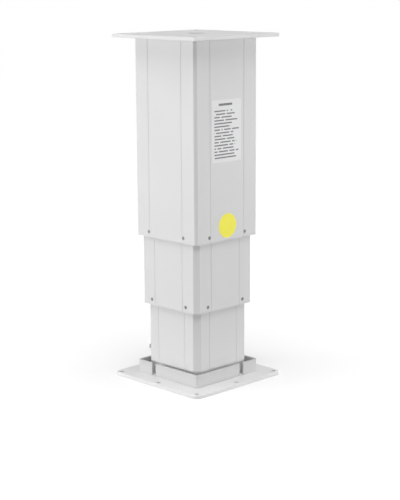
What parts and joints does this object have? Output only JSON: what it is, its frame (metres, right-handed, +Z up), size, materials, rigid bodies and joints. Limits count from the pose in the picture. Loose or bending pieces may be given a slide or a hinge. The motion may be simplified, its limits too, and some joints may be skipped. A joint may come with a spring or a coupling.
{
  "type": "electric lifting column",
  "caption": "Square telescopic lifting column on a bolt-down base plate, with nested aluminium tubes raised by a motor and telescopic spindle under a flat mounting plate.",
  "frame": {"origin": "centre of the base plate's underside, at floor level", "axes": "+Z up along the lifting axis; the front of the column faces -Y and the power inlet is in the rear, on +Y"},
  "size_m": [0.21, 0.21, 0.6],
  "materials": {
    "plate_paint": "fine white-grey powder coat, satin",
    "tube_coating": "extruded, with a satin pale grey powder coat",
    "screw_steel": "zinc plated",
    "bearing_steel": "ground",
    "cast_housing": "as cast",
    "plate_aluminium": "milled",
    "nut_brass": "turned",
    "slide_plastic": "natural acetal",
    "motor_paint": "black enamel",
    "black_plastic": "moulded",
    "board_laminate": "green solder mask",
    "lead_jacket": "soft PVC jacket",
    "flange_steel": "turned"
  },
  "bodies": {
    "base": {"base_plate": "plate_paint", "base_screws": "screw_steel", "front_collar_wall": "plate_paint", "rear_collar_wall": "plate_paint", "left_collar_wall": "plate_paint", "right_collar_wall": "plate_paint", "inner_tube": "tube_coating", "power_inlet": "black_plastic", "inlet_nut": "screw_steel", "gear_housing": "cast_housing", "gear_housing_screws": "screw_steel", "gear_cover": "cast_housing", "gear_cover_screws": "screw_steel", "motor_can": "motor_paint", "motor_end_cap": "black_plastic", "output_bearing": "bearing_steel", "head_plate": "plate_aluminium", "head_plate_screws": "screw_steel", "fixed_nut": "nut_brass", "fixed_nut_screws": "screw_steel", "inner_guide_frame": "slide_plastic", "board_bracket": "screw_steel", "bracket_screws": "screw_steel", "board_spacers": "slide_plastic", "control_board": "board_laminate", "inlet_lead": "lead_jacket", "motor_lead": "lead_jacket"},
    "drive_shaft": {"drive_shaft": "bearing_steel"},
    "middle_stage": {"middle_tube": "tube_coating", "middle_slide_pads": "slide_plastic", "middle_pad_screws": "screw_steel", "middle_guide_frame": "slide_plastic", "bearing_plate": "plate_aluminium", "bearing_plate_screws": "screw_steel", "screw_bearing": "bearing_steel"},
    "turning_screw": {"lead_screw": "bearing_steel", "drive_bush": "flange_steel", "turning_nut": "nut_brass", "retaining_ring": "screw_steel"},
    "top_stage": {"outer_tube": "tube_coating", "outer_slide_pads": "slide_plastic", "outer_pad_screws": "screw_steel", "top_plate": "plate_paint", "top_plate_screws": "screw_steel", "spindle_flange": "flange_steel", "flange_screws": "screw_steel", "spindle": "bearing_steel", "spindle_bolt": "screw_steel"}
  },
  "joints": [
    {"name": "middle_slide", "type": "slide", "parent": "base", "child": "middle_stage", "axis": [0, 0, 1], "range_m": [-0.112, 0.06]},
    {"name": "top_slide", "type": "slide", "parent": "middle_stage", "child": "top_stage", "axis": [0, 0, 1], "range_m": [-0.112, 0.06]},
    {"name": "shaft_turn", "type": "hinge", "parent": "base", "child": "drive_shaft", "pos_m": [0, 0, 0.05], "axis": [0, 0, 1], "range_deg": [-4033, 2161]},
    {"name": "screw_turn", "type": "hinge", "parent": "middle_stage", "child": "turning_screw", "pos_m": [0, 0, 0.3], "axis": [0, 0, 1], "range_deg": [-4033, 2161]}
  ],
  "couplings": [
    {"joint": "top_slide", "follows": "middle_slide", "ratio": 1},
    {"joint": "shaft_turn", "follows": "middle_slide", "rad_per_m": 628.32},
    {"joint": "screw_turn", "follows": "middle_slide", "rad_per_m": 628.32}
  ]
}
